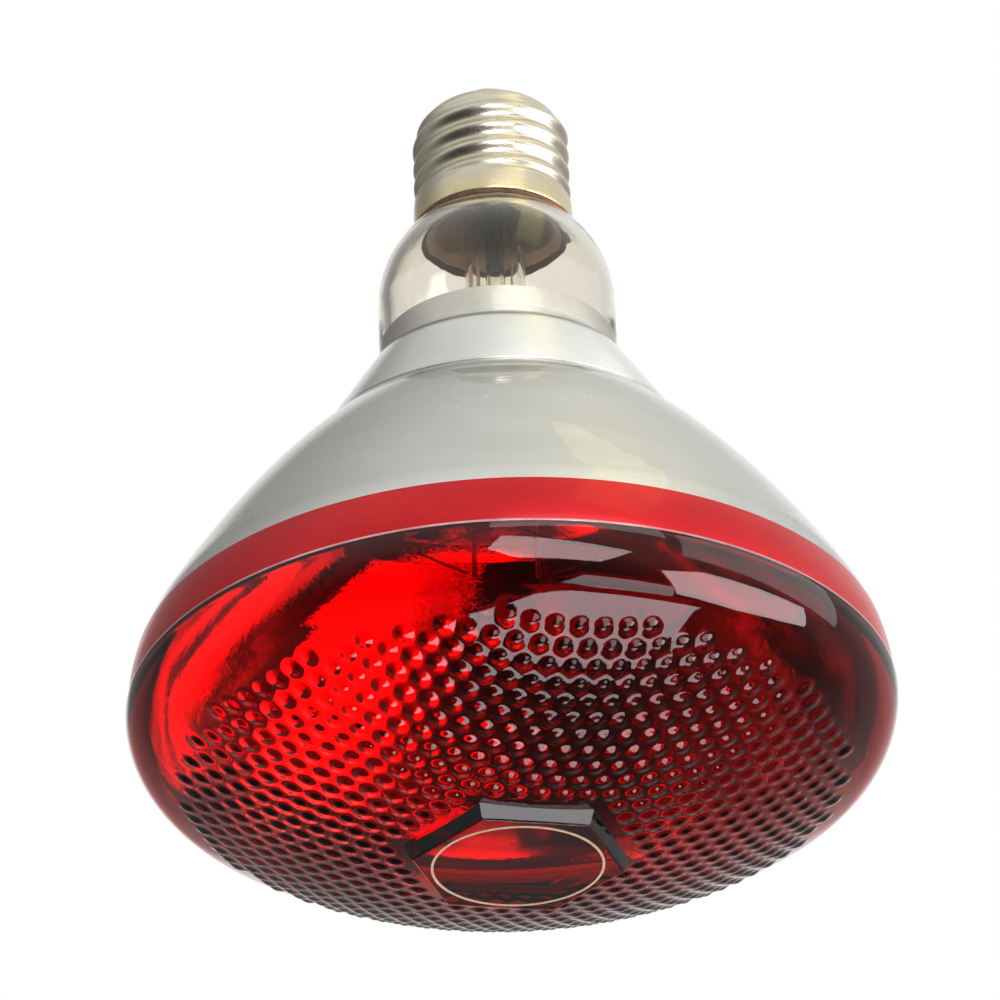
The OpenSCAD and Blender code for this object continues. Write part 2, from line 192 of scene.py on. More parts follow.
# Sides of a revolved mesh, the cap and the lens
SIDES = 256
CAP_SIDES = 192
LENS_SIDES = 720
SIXTH = math.pi / 3

# Camera, set where the photograph was taken from
CAMERA_TURN = -12
CAMERA_BELOW = 30.32
CAMERA_FAR = 1000
CAMERA_ROLL = 2.2
CAMERA_AIM = 80
FOCAL_PIXELS = 6163
PICTURE_PIXELS = 1000
SHIFT_PIXELS = (3.97, -9.64)
SENSOR_WIDTH = 36
CLIP_START = 0.01

# Studio: the floor's distance below the lamp and half its width, and the panels' distance
STUDIO_CENTRE = Vector((0, 0, -105)) * MM
FLOOR_DOWN = 2200
FLOOR_REACH = 6000
PANEL_FAR = 1800
# The white backdrop that metal and glass see behind the lamp is white up to the first angle
# from the camera's line, and gone at the second
BACKDROP_WHITE = 14
BACKDROP_REACH = 26
# The room that mirrors and glass show elsewhere: greys by the sine of the elevation
ROOM = [(-1.0, 0.06), (-0.6, 0.12), (-0.3, 0.32), (0.0, 0.38), (0.3, 0.55), (0.5, 0.73),
        (0.75, 0.79), (1.0, 0.80)]
ROOM_BLUE = 0.97
# Places of the room with another light: azimuth, elevation, reach and share of the light.
# The first two are darker and the last is lighter.
PATCHES = [(-135, -42, 50, 0.2), (125, 28, 60, 0.38), (85, 12, 40, 1.35)]
# Glowing panels: name, corners as (azimuth, elevation) from the lamp, strength and colour
PANELS = [
    ("front_low_panel", [(-107, -15), (-103, 4), (-67, -11), (-74, -31), (-99, -30)],
     5.4, (1, 1, 1)),
    ("front_high_panel", [(-106, 17), (-106, 30), (-57, 30), (-57, 17)], 2.4, (1, 1, 1)),
    ("right_high_panel", [(-53, -4), (-53, 25), (2, 25), (2, -4)], 1.9, (1, 1, 1)),
    ("right_low_panel", [(-55, -30), (-45, -19), (-11, -8), (-3, -24), (-14, -47), (-33, -54)],
     6.5, (1.0, 0.95, 0.97)),
    ("low_front_panel", [(-74, -52), (-42, -47), (-28, -58), (-50, -68), (-76, -66)],
     2.8, (1, 1, 1)),
    ("under_panel", [(-166, -83), (-52, -76.5), (-9, -58), (25, -67), (90, -83)],
     5.0, (0.97, 0.96, 1.0)),
    ("warm_ceiling_strip", [(-66, 40), (-80, 43), (-30, 75), (43, 79), (16, 67), (-58, 36)],
     1.45, (1.0, 0.95, 0.66))]

# The colour sockets of the Mix node
MIX_FIRST, MIX_SECOND, MIX_RESULT = 6, 7, 2


def add_object(name, data):
    """An object of the scene."""
    made = bpy.data.objects.new(name, data)
    bpy.context.scene.collection.objects.link(made)
    return made


def make_camera():
    """The photograph's camera: it looks up at the lamp and is shifted, rolled and turned."""
    turn, below = math.radians(CAMERA_TURN), math.radians(CAMERA_BELOW)
    yaw, pitch = (math.atan(p / FOCAL_PIXELS) for p in SHIFT_PIXELS)
    forward = Vector((0, math.cos(below), math.sin(below)))
    right = Vector((1, 0, 0))
    up = Vector((0, -math.sin(below), math.cos(below)))
    place = Vector((0, 0, -CAMERA_AIM)) - forward * CAMERA_FAR
    right, forward = (right * math.cos(yaw) + forward * math.sin(yaw),
                      forward * math.cos(yaw) - right * math.sin(yaw))
    up, forward = (up * math.cos(pitch) + forward * math.sin(pitch),
                   forward * math.cos(pitch) - up * math.sin(pitch))
    roll = math.radians(CAMERA_ROLL)
    right, up = (right * math.cos(roll) - up * math.sin(roll),
                 right * math.sin(roll) + up * math.cos(roll))
    axes = Matrix((right, up, -forward)).transposed().to_4x4()
    data = bpy.data.cameras.new("camera")
    data.sensor_width = SENSOR_WIDTH
    data.lens = SENSOR_WIDTH * FOCAL_PIXELS / PICTURE_PIXELS
    data.clip_start = CLIP_START
    camera = add_object("camera", data)
    camera.matrix_world = (Matrix.Rotation(turn, 4, "Z")
                           @ Matrix.Translation(place * MM) @ axes)
    bpy.context.scene.camera = camera


class Graph:
    """A node tree with short ways to add and link nodes."""

    def __init__(self, tree):
        self.tree = tree

    def node(self, kind, settings=None, **inputs):
        """A shader node with its settings, and inputs by name with _ for a space."""
        made = self.tree.nodes.new("ShaderNode" + kind)
        for key, value in (settings or {}).items():
            setattr(made, key, value)
        for key, value in inputs.items():
            self.put(made, key.replace("_", " "), value)
        return made

    def put(self, node, socket, value):
        """Links a socket to an input, or sets the input to a value."""
        if isinstance(value, bpy.types.NodeSocket):
            self.tree.links.new(value, node.inputs[socket])
        else:
            node.inputs[socket].default_value = value

    def ramp(self, value, low, high, out_low, out_high, kind="LINEAR"):
        """Takes value from the range low..high to out_low..out_high, clamped."""
        made = self.node("MapRange", {"interpolation_type": kind}, Value=value)
        for socket, number in zip(("From Min", "From Max", "To Min", "To Max"),
                                  (low, high, out_low, out_high)):
            self.put(made, socket, number)
        return made.outputs["Result"]

    def calc(self, operation, first, second):
        """A Math node with two inputs."""
        made = self.node("Math", {"operation": operation})
        self.put(made, 0, first)
        self.put(made, 1, second)
        return made.outputs["Value"]


class Paint(Graph):
    """A material's node tree."""

    def __init__(self, name):
        self.material = bpy.data.materials.new(name)
        self.material.use_nodes = True
        super().__init__(self.material.node_tree)
        self.shader = self.tree.nodes["Principled BSDF"]
        self.output = self.tree.nodes["Material Output"]

    def set(self, **inputs):
        """Sets or links the Principled shader's inputs."""
        for key, value in inputs.items():
            self.put(self.shader, key.replace("_", " "), value)

    def place(self):
        """Place on the object, in metres."""
        return self.node("TexCoord").outputs["Object"]

    def noise(self, scale, detail=4, rough=0.5, stretch=None):
        """Noise over the object, squeezed along an axis by a stretch above 1."""
        where = self.place()
        if stretch:
            where = self.node("Mapping", Vector=where, Scale=stretch).outputs["Vector"]
        return self.node("TexNoise", Vector=where, Scale=scale, Detail=detail,
                         Roughness=rough).outputs["Fac"]

    def mix(self, share, first, second):
        """First colour where share is 0, second where it is 1."""
        made = self.node("Mix", {"data_type": "RGBA"}, Factor=share)
        for socket, colour in ((MIX_FIRST, first), (MIX_SECOND, second)):
            self.put(made, socket, (*colour, 1) if isinstance(colour, tuple) else colour)
        return made.outputs[MIX_RESULT]

    def cloudy(self, cloud, low, high, first, second):
        """First colour where the cloud is below low, second where it is above high."""
        return self.mix(self.ramp(cloud, low, high, 0, 1), first, second)

    def bump(self, height, depth):
        """Relief from a height in 0..1 that stands depth millimetres tall."""
        return self.node("Bump", Height=height, Distance=depth * MM).outputs["Normal"]


def worn(name, noise, edge, first, second, rough, relief, **more):
    """A material of two colours, with its roughness and relief from the same noise."""
    g = Paint(name)
    cloud = g.noise(*noise)
    g.set(Base_Color=g.cloudy(cloud, *edge, first, second),
          Roughness=g.ramp(cloud, 0.3, 0.7, *rough), Normal=g.bump(cloud, relief), **more)
    return g.material


def cap_nickel():
    """Nickel plating, a little dulled and handled; the heat has turned the skirt golden."""
    g = Paint("cap_nickel")
    cloud = g.noise(160, 5, 0.6)
    marks = g.noise(900, 3, 0.6, stretch=(1, 1, 6))
    height = g.node("SeparateXYZ", Vector=g.place()).outputs["Z"]
    ragged = g.calc("ADD", height, g.calc("MULTIPLY", cloud, 2 * MM))
    stain = g.ramp(ragged, -(CAP_LEVEL - 5) * MM, -(CAP_LEVEL - 2.5) * MM, 0, 1)
    plain = g.cloudy(cloud, 0.35, 0.7, (0.78, 0.73, 0.61), (0.64, 0.58, 0.46))
    golden = g.cloudy(cloud, 0.35, 0.7, (0.83, 0.72, 0.48), (0.70, 0.58, 0.36))
    g.set(Metallic=1.0, Base_Color=g.mix(stain, plain, golden),
          Roughness=g.ramp(g.calc("ADD", cloud, marks), 0.7, 1.3, 0.22, 0.34),
          Normal=g.bump(marks, 0.012))
    return g.material


def dark_glass():
    """Black glass, worn satin in places."""
    g = Paint("dark_glass")
    cloud = g.noise(300, 4)
    g.set(Base_Color=g.cloudy(cloud, 0.4, 0.7, (0.02, 0.02, 0.022), (0.05, 0.045, 0.045)),
          Roughness=g.ramp(cloud, 0.3, 0.7, 0.12, 0.35), IOR=1.52,
          Normal=g.bump(g.noise(600, 3), 0.02))
    return g.material


def contact_brass():
    """Brass of the contact plate, with dull places."""
    return worn("contact_brass", (500, 5), (0.35, 0.7), (0.72, 0.56, 0.30), (0.42, 0.31, 0.17),
                (0.25, 0.45), 0.02, Metallic=1.0)


def solder():
    """Frozen solder with dull places."""
    return worn("solder", (1500, 5, 0.6), (0.4, 0.65), (0.52, 0.51, 0.50), (0.24, 0.23, 0.22),
                (0.28, 0.6), 0.08, Metallic=1.0)


def burnt_solder():
    """The bead on the rim, darkened by flux."""
    return worn("burnt_solder", (1200, 5, 0.6), (0.4, 0.65), (0.035, 0.03, 0.03),
                (0.16, 0.12, 0.09), (0.3, 0.6), 0.1, Metallic=0.6)


def cement():
    """Tan basing cement: grains in a baked resin."""
    g = Paint("cement")
    grain = g.node("TexVoronoi", Vector=g.place(), Scale=1400.0).outputs["Distance"]
    cloud = g.noise(250, 6, 0.65)
    colour = g.cloudy(cloud, 0.35, 0.65, (0.62, 0.49, 0.31), (0.76, 0.63, 0.43))
    g.set(Base_Color=g.mix(g.ramp(grain, 0.05, 0.35, 0.3, 0), colour, (0.80, 0.72, 0.55)),
          Roughness=0.85, Normal=g.bump(g.calc("ADD", grain, cloud), 0.15))
    return g.material


def burnt_cement():
    """The cement's edge under the cap's rim, scorched dark with a rusty side."""
    g = Paint("burnt_cement")
    cloud = g.noise(500, 5, 0.65)
    along = g.node("SeparateXYZ", Vector=g.place()).outputs["X"]
    rust = g.ramp(along, 1 * MM, 11 * MM, 0, 1)
    scorch = g.cloudy(cloud, 0.35, 0.6, (0.035, 0.020, 0.008), (0.16, 0.09, 0.035))
    rusty = g.cloudy(cloud, 0.35, 0.6, (0.10, 0.018, 0.006), (0.28, 0.08, 0.03))
    g.set(Base_Color=g.mix(rust, scorch, rusty), Roughness=g.ramp(cloud, 0.3, 0.7, 0.45, 0.8),
          Normal=g.bump(cloud, 0.15))
    return g.material


def clear_glass():
    """Pressed clear glass with the faint waves that the mould leaves."""
    g = Paint("clear_glass")
    waves = g.noise(60, 2, 0.5, stretch=(1, 1, 3))
    g.set(Base_Color=(0.97, 0.98, 0.97, 1), Transmission_Weight=1.0, IOR=1.47, Roughness=0.015,
          Normal=g.bump(waves, 0.06))
    return g.material


def neck_glass():
    """The glass of the neck, with the faint brown smoke of the lamp's burning."""
    g = Paint("neck_glass")
    smoke = g.noise(40, 3, 0.6)
    g.set(Base_Color=g.cloudy(smoke, 0.35, 0.7, (0.93, 0.90, 0.83), (0.86, 0.82, 0.73)),
          Transmission_Weight=1.0, IOR=1.47,
          Roughness=g.ramp(g.noise(500, 3), 0.3, 0.7, 0.012, 0.03),
          Normal=g.bump(g.noise(60, 2, 0.5, stretch=(1, 1, 3)), 0.05))
    return g.material


def film_back():
    """The mirror seen from outside, satin because of the skin of the pressed glass."""
    g = Paint("film_back")
    cloud = g.noise(45, 4, 0.55, stretch=(1, 1, 2.5))
    fine = g.noise(700, 3, 0.6)
    g.set(Metallic=1.0,
          Base_Color=g.cloudy(cloud, 0.35, 0.7, (0.92, 0.92, 0.90), (0.87, 0.87, 0.84)),
          Roughness=g.ramp(g.calc("ADD", cloud, fine), 0.7, 1.3, 0.26, 0.36),
          Normal=g.bump(fine, 0.004))
    return g.material


def film_front():
    """The mirror seen through the lens, bright and sharp."""
    g = Paint("film_front")
    waves = g.noise(70, 3, 0.5)
    ripples = g.calc("MULTIPLY", g.noise(420, 3, 0.6, stretch=(1, 1, 1.8)), 0.5)
    g.set(Metallic=1.0, Base_Color=(0.88, 0.88, 0.87, 1),
          Roughness=g.ramp(g.noise(300, 4), 0.3, 0.7, 0.02, 0.05),
          Normal=g.bump(g.calc("ADD", waves, ripples), 0.10))
    return g.material


def red_lacquer():
    """The red band over the silvered rim: clear gloss over a red metal ground."""
    g = Paint("red_lacquer")
    cloud = g.noise(80, 5, 0.6, stretch=(1, 1, 2))
    specks = g.noise(1500, 2, 0.5)
    g.set(Metallic=0.85,
          Base_Color=g.cloudy(cloud, 0.35, 0.7, (0.66, 0.012, 0.018), (0.56, 0.008, 0.014)),
          Roughness=g.ramp(cloud, 0.3, 0.7, 0.28, 0.38), Coat_Weight=0.35, Coat_Roughness=0.08,
          Normal=g.bump(g.calc("ADD", cloud, specks), 0.02))
    return g.material


def red_glass():
    """Ruby glass, deeper red where it is thicker."""
    g = Paint("red_glass")
    waves = g.noise(90, 2, 0.5)
    g.set(Base_Color=(0.80, 0.05, 0.08, 1), Transmission_Weight=1.0, IOR=1.5,
          Roughness=g.ramp(g.noise(400, 3), 0.35, 0.7, 0.012, 0.03), Normal=g.bump(waves, 0.03))
    body = g.node("VolumeAbsorption", Color=(0.885, 0.0, 0.03, 1), Density=600.0)
    g.put(g.output, "Volume", body.outputs["Volume"])
    return g.material


def fused_edge():
    """The thin line along the joint, where the silvering shows through fused glass."""
    g = Paint("fused_edge")
    cloud = g.noise(120, 4, 0.6)
    g.set(Metallic=1.0,
          Base_Color=g.cloudy(cloud, 0.35, 0.65, (0.92, 0.50, 0.55), (0.80, 0.22, 0.27)),
          Roughness=g.ramp(cloud, 0.3, 0.7, 0.12, 0.25), Coat_Weight=1.0, Coat_Roughness=0.03)
    return g.material


def fired_ink():
    """The print on the pad, worn thin in places."""
    return worn("fired_ink", (2500, 4, 0.7), (0.4, 0.65), (0.50, 0.37, 0.25),
                (0.34, 0.22, 0.15), (0.4, 0.6), 0.03)


def stem_glass():
    """Glass of the stem. Its low index keeps the stem as faint as in the photograph."""
    g = Paint("stem_glass")
    waves = g.noise(250, 3)
    g.set(Base_Color=(0.95, 0.95, 0.88, 1), Transmission_Weight=1.0, IOR=1.3,
          Roughness=g.ramp(waves, 0.3, 0.7, 0.012, 0.04), Normal=g.bump(waves, 0.04))
    return g.material


def drawn_wire(name, bright, dull, rough):
    """A drawn metal wire with lengthwise marks and patches of oxide."""
    return worn(name, (900, 4, 0.6, (1, 1, 0.3)), (0.4, 0.65), bright, dull,
                (rough, rough + 0.2), 0.01, Metallic=1.0)


def add_piece(name, points, faces, materials, sharp=40, face_materials=None):
    """A smooth shaded closed mesh of the object, in millimetres, that rides on the lamp."""
    mesh = bpy.data.meshes.new(name)
    mesh.from_pydata((np.asarray(points) * MM).tolist(), [], faces)
    for material in materials:
        mesh.materials.append(material)
    if face_materials is not None:
        mesh.polygons.foreach_set("material_index", face_materials)
    made = bmesh.new()
    made.from_mesh(mesh)
    bmesh.ops.recalc_face_normals(made, faces=made.faces)
    made.to_mesh(mesh)
    made.free()
    smooth(mesh, sharp)
    piece = add_object(name, mesh)
    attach(piece, "root")
    return piece


def smooth(mesh, sharp):
    """Smooth shading, with edges over an angle kept sharp."""
    mesh.polygons.foreach_set("use_smooth", [True] * len(mesh.polygons))
    mesh.set_sharp_from_angle(angle=math.radians(sharp))


def ring_points(radii, heights, sides):
    """One ring of points: radii and heights are numbers or one value for each side."""
    turn = np.arange(sides) * 2 * np.pi / sides
    radii, heights = np.broadcast_to(radii, sides), np.broadcast_to(heights, sides)
    return np.column_stack([radii * np.cos(turn), radii * np.sin(turn), heights])


def tip(level):
    """A ring that is one point on the axis."""
    return np.array([[0, 0, -level]])


def skin(rings, closed):
    """Joins rings of points, or single points, one after another. Returns points and faces."""
    starts = np.cumsum([0] + [len(ring) for ring in rings])
    faces = []
    last = len(rings) if closed else len(rings) - 1
    for i in range(last):
        j = (i + 1) % len(rings)
        a, b = starts[i], starts[j]
        n, m = len(rings[i]), len(rings[j])
        if n == 1 and m == 1:
            continue
        k = np.arange(max(n, m))
        after = (k + 1) % max(n, m)
        if n == 1:
            faces += np.column_stack([np.full(m, a), b + k, b + after]).tolist()
        elif m == 1:
            faces += np.column_stack([a + after, a + k, np.full(n, b)]).tolist()
        else:
            faces += np.column_stack([a + k, b + k, b + after, a + after]).tolist()
    return np.vstack(rings), faces


def revolve(name, outline, materials, sharp=40, second=None):
    """Revolves a closed outline of (radius, level) points about the lamp's axis.

    Where second(i) holds, the faces after the outline's point i take the second material.
    """
    points, faces = skin([ring_points(r, -level, SIDES) for r, level in outline], True)
    face_materials = None
    if second:
        face_materials = [int(second(i // SIDES)) for i in range(len(faces))]
    return add_piece(name, points, faces, materials, sharp, face_materials)


def arc(r, level, curve, start, end, steps):
    """Points on an arc about (r, level), 0 degrees outward and 90 down."""
    turns = np.radians(np.linspace(start, end, steps + 1))
    return [(r + curve * math.cos(t), level + curve * math.sin(t)) for t in turns]


def rounded(points, curve, steps=4):
    """The same outline with each corner between its ends rounded off by a parabola.

    The parabola starts at the distance curve from the corner, or nearer on a short side, where
    it keeps to a little under half of the side.
    """
    share = 1 / 2.2
    out = [points[0]]
    for before, corner, after in zip(points, points[1:], points[2:]):
        corner = np.array(corner, float)
        to_before, to_after = np.array(before) - corner, np.array(after) - corner
        long_before, long_after = np.linalg.norm(to_before), np.linalg.norm(to_after)
        reach = min(curve, long_before * share, long_after * share)
        first = corner + to_before / long_before * reach
        last = corner + to_after / long_after * reach
        for t in np.linspace(0, 1, steps + 1):
            out.append(tuple((1 - t) ** 2 * first + 2 * t * (1 - t) * corner + t * t * last))
    return out + [points[-1]]


def wall_angle():
    """Angle from the axis at which the dish's paraboloid meets the rim's arc smoothly."""
    low, high = 0, math.pi / 2
    while high - low > 1e-6:
        middle = (low + high) / 2
        reach = (DISH_R - RIM_CURVE) * math.tan(middle) + RIM_CURVE * math.sin(middle)
        low, high = (low, middle) if reach > 2 * FOCAL else (middle, high)
    return low


TURN_R = DISH_R - RIM_CURVE + RIM_CURVE * math.cos(wall_angle())
TURN_LEVEL = VERTEX_LEVEL + TURN_R ** 2 / (4 * FOCAL)
DISH_LEVELS = np.linspace(COLLAR_LEVEL + COLLAR_STEP, JOINT_LEVEL, 72)


def dish(level, inset=0):
    """(radius, level) of the dish's outside at a level, moved in square to the wall by inset."""
    if level > TURN_LEVEL:
        up = JOINT_LEVEL - level
        r = DISH_R - RIM_CURVE + math.sqrt(RIM_CURVE ** 2 - up ** 2)
        lean = math.asin(up / RIM_CURVE)
    else:
        r = math.sqrt(4 * FOCAL * (level - VERTEX_LEVEL))
        lean = math.atan(2 * FOCAL / r)
    return r - inset * math.cos(lean), level + inset * math.sin(lean)


def shoulder(ball, tube, steps):
    """The neck's round shoulder, from the tube down to the ball's widest level."""
    return arc(0, SHOULDER_LEVEL, ball, -math.degrees(math.acos(tube / ball)), 0, steps)


def outer_wall():
    """The bulb's outside from the shoulder to the joint."""
    neck = shoulder(NECK_R, TUBE_R, 36)
    dish_top = dish(DISH_LEVELS[0])
    collar = rounded([
        neck[-1], (NECK_R, FOOT_LEVEL), (NECK_R - CREASE_DEPTH, FOOT_LEVEL + CREASE_W * 0.5),
        (COLLAR_R, FOOT_LEVEL + CREASE_W), (dish_top[0] - COLLAR_STEP, COLLAR_LEVEL), dish_top],
        CREASE_ROUND)
    return neck + collar[1:-1] + [dish(level) for level in DISH_LEVELS]


def inner_wall(top, inset):
    """The bulb's inside from a level in the neck down to the joint, moved in by inset."""
    foot = INNER_FOOT
    neck_in = NECK_R - GLASS_T - inset
    collar_in = COLLAR_R - GLASS_T - inset
    collar_end = collar_in + COLLAR_LEAN
    wall = [dish(level, GLASS_T + inset) for level in DISH_LEVELS]
    bend = rounded([
        (neck_in, top), (neck_in, foot - GROOVE_H), (neck_in - GROOVE_DEPTH, foot),
        (collar_in - GROOVE_DEPTH, foot + GROOVE_H), (collar_in, foot + 2 * GROOVE_H),
        (collar_end, COLLAR_LEVEL - COLLAR_HEM), (collar_end - COLLAR_LIP, COLLAR_LEVEL - COLLAR_TIP),
        wall[0]], GROOVE_ROUND)
    return bend[:-1] + wall


def make_bulb(glass, neck, back, front):
    """The pressed bulb with its smoked neck, and the mirror film on its inside."""
    tube_in = TUBE_R - TUBE_T
    inside = [(tube_in, TUBE_LEVEL)] + shoulder(NECK_R - GLASS_T, tube_in, 30)
    inside += inner_wall(MIRROR_LEVEL, 0)
    outline = [(TUBE_R, TUBE_LEVEL)] + outer_wall() + inside[::-1]
    bulb = revolve("bulb_glass", outline, [glass, neck], sharp=50,
                   second=lambda i: outline[i][1] < MIRROR_LEVEL)
    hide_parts("reflector_glass")

    film_outer = inner_wall(MIRROR_LEVEL, -FILM_SINK)
    film_inner = inner_wall(MIRROR_LEVEL, FILM_T)
    film = revolve("mirror", film_outer + film_inner[::-1], [back, front],
                   second=lambda i: i >= len(film_outer) - 1)
    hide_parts("mirror_film")


def make_red_band(lacquer):
    """The red band round the rim of the dish."""
    band = [COAT_LEVEL + (JOINT_LEVEL - COAT_LEVEL) * t for t in np.linspace(0, 1, 24)]
    outer = [dish(level, -FILM_T) for level in band]
    inner = [dish(level, FILM_SINK) for level in band]
    coat = revolve("red_band", outer + inner[::-1], [lacquer])
    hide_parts("red_edge_coat")


def hexagon(turn, apothem):
    """Distance from the axis to the side of the pad's six sided outline."""
    return apothem / np.cos((turn % SIXTH) - SIXTH / 2)


def bump_height(x, y):
    """Height of the bumped field over the face at each point."""
    far = 1e9
    row = BUMP_PITCH * math.sqrt(3) / 2
    nearest = np.full(x.shape, far)
    keep = (PAD_W + BUMP_D) / 2 + BUMP_MARGIN
    for offset in (0, 1):
        for side in (0, 1):
            j = np.floor(y / row) + offset
            odd = (np.abs(j) % 2) / 2
            i = np.floor(x / BUMP_PITCH - odd) + side
            spot_x, spot_y = (i + odd) * BUMP_PITCH, j * row
            spot_r, spot_turn = np.hypot(spot_x, spot_y), np.arctan2(spot_y, spot_x)
            reach = spot_r * np.cos((spot_turn % SIXTH) - SIXTH / 2)
            inside = (spot_r < FIELD_R) & (reach > keep)
            nearest = np.minimum(nearest, np.where(inside, np.hypot(x - spot_x, y - spot_y), far))
    share = np.clip(nearest / (BUMP_PITCH / 2), 0, 1)
    return BUMP_SOFT_H * (1 + np.cos(np.pi * share)) / 2


def face_level(r, curve=FACE_CURVE):
    """Level of the lens's outer face without bumps, or of its inside with that curve."""
    return FACE_CENTRE + np.sqrt(curve ** 2 - r ** 2)


def pad_rings(turn):
    """Six sided rings over the pad and down its bevel."""
    top = PAD_W / 2 - BEVEL_W
    rings = [ring_points(hexagon(turn, apothem), -PAD_LEVEL, LENS_SIDES)
             for apothem in (top * 0.5, top - PAD_ROUND, top - PAD_ROUND / 3)]
    for share in np.linspace(BEVEL_START, 1, 8):
        drop = min(1, share * BEVEL_STEEP)
        r = hexagon(turn, top + BEVEL_W * share)
        height = -PAD_LEVEL * (1 - drop) - face_level(r) * drop
        rings.append(ring_points(r, height, LENS_SIDES))
    return rings


def field_rings(turn):
    """Rings over the bumped field, from the pad's foot out, and over the smooth border."""
    foot = hexagon(turn, PAD_W / 2)
    spans = [foot + (HEX_END - foot) * t for t in np.linspace(0, 1, 28)[1:]]
    round_spans = np.arange(HEX_END + RING_STEP, FIELD_END, RING_STEP)
    spans += [np.full(LENS_SIDES, r) for r in round_spans]
    rings = []
    for r in spans:
        x, y = r * np.cos(turn), r * np.sin(turn)
        h = bump_height(x, y)
        out = 1 + h / FACE_CURVE
        up = np.sqrt(1 - (r / FACE_CURVE) ** 2)
        rings.append(np.column_stack([x * out, y * out, -face_level(r) - h * up]))
    rings += [ring_points(r, -face_level(r), LENS_SIDES)
              for r in np.linspace(BORDER_START, FACE_END, 5)]
    return rings


def make_lens(glass, joint):
    """The pressed lens: pad, bumped field, smooth border, round edge and plain inside."""
    turn = np.arange(LENS_SIDES) * 2 * np.pi / LENS_SIDES
    edge_turn = math.degrees(EDGE_TURN)
    line_end = JOINT_LEVEL + JOINT_LINE
    inner_curve = FACE_CURVE - LENS_T
    inner_end = inner_curve * math.cos(EDGE_TURN)

    edge = arc(EDGE_X, EDGE_LEVEL, EDGE_CURVE, edge_turn, 0, 30)[1:] + [(LENS_R, line_end)]
    edge += arc(LENS_R - LEDGE_ROUND, JOINT_LEVEL + LEDGE_ROUND, LEDGE_ROUND, 0, -90, 6)
    edge += [(LENS_R - LENS_T, JOINT_LEVEL)]
    edge += arc(EDGE_X, EDGE_LEVEL, EDGE_CURVE - LENS_T, 0, edge_turn, 16)
    edge += [(r, face_level(r, inner_curve)) for r in np.linspace(inner_end, 0, 20)[1:-1]]
    rings = [tip(PAD_LEVEL)] + pad_rings(turn) + field_rings(turn)
    rings += [ring_points(r, -level, LENS_SIDES) for r, level in edge]
    rings.append(tip(FACE_CENTRE + inner_curve))

    points, faces = skin(rings, False)
    level = -points[:, 2]
    close = 0.01
    shine = [int(min(level[k] for k in face) > JOINT_LEVEL - close
                 and max(level[k] for k in face) < line_end + close
                 and math.hypot(*points[face[0]][:2]) > LENS_R - 1) for face in faces]
    lens = add_piece("lens_glass", points, faces, [glass, joint], sharp=50,
                     face_materials=shine)
    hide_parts("lens")


def fade(x):
    """Smooth step from 0 to 1."""
    x = np.clip(x, 0, 1)
    return x * x * (3 - 2 * x)


def shell_ring(level, inset):
    """One ring of the cap's rolled sheet, moved in square to its domed shoulder by inset."""
    turn = np.arange(CAP_SIDES) * 360 / CAP_SIDES
    dome_r = LIP_R + LIP_EDGE
    up = 1 - min(1, (level - LIP_LEVEL) / SHOULDER_H)
    out = math.sqrt(1 - up ** 2)
    head = fade((level - LIP_LEVEL - THREAD_START) / THREAD_PITCH)
    foot = fade((SKIRT_LEVEL - level) / THREAD_PITCH * 2)
    crest = (1 - np.cos(np.radians(360 * level / THREAD_PITCH + turn + THREAD_TURN))) / 2
    r = dome_r + (ROOT_R - dome_r) * out + THREAD_DEPTH * crest * head * foot
    r = r + (SKIRT_R - SKIRT_EASE - ROOT_R) * (1 - foot)
    lean_r, lean_z = out / (ROOT_R - dome_r), up / SHOULDER_H
    size = math.hypot(lean_r, lean_z)
    return ring_points(r - inset * lean_r / size, -level - inset * lean_z / size, CAP_SIDES)


def make_cap(nickel):
    """The rolled shell: lip, domed shoulder with the thread's start, thread and skirt."""
    dome = LIP_LEVEL + SHOULDER_H * (1 - np.cos(np.linspace(0, np.pi / 2, 30)))
    spans = [*dome, *np.linspace(dome[-1], SKIRT_LEVEL, 84)[1:]]
    outer = [shell_ring(level, 0) for level in spans]
    inner = [shell_ring(level, SHELL_T) for level in spans]
    lip = SHELL_T / 2
    hem = [(SKIRT_R, SKIRT_LEVEL + HEM_TOP), (SKIRT_R, CAP_LEVEL - HEM_H)]
    hem += arc(SKIRT_R - lip, CAP_LEVEL - lip, lip, 0, 180, 8)
    hem += [(r - SHELL_T, level) for r, level in hem[1::-1]]
    rings = [ring_points(LIP_R, -LIP_LEVEL, CAP_SIDES)] + outer
    rings += [ring_points(r, -level, CAP_SIDES) for r, level in hem]
    rings += inner[::-1] + [ring_points(LIP_R, -LIP_LEVEL - SHELL_T, CAP_SIDES)]
    points, faces = skin(rings, True)
    cap = add_piece("cap_shell", points, faces, [nickel], sharp=50)
    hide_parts("screw_shell")


def make_insulator(glass):
    """The black glass button between the shell and the centre contact."""
    hole, rim = EYELET_BORE + EYELET_T, LIP_R - INSULATOR_GAP
    top, below = INSULATOR_LEVEL, LIP_LEVEL + INSULATOR_DEPTH
    outline = rounded([
        (hole, below), (hole, top), (PLATE_R + 0.3, top), (PLATE_R + 1, top + 0.9),
        (LIP_R - 0.6, LIP_LEVEL - INSULATOR_STEP), (rim, LIP_LEVEL),
        (rim, LIP_LEVEL + INSULATOR_DEPTH / 2), (LIP_R - 1, below)], 0.3)
    button = revolve("insulator_glass", outline, [glass])
    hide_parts("insulator")


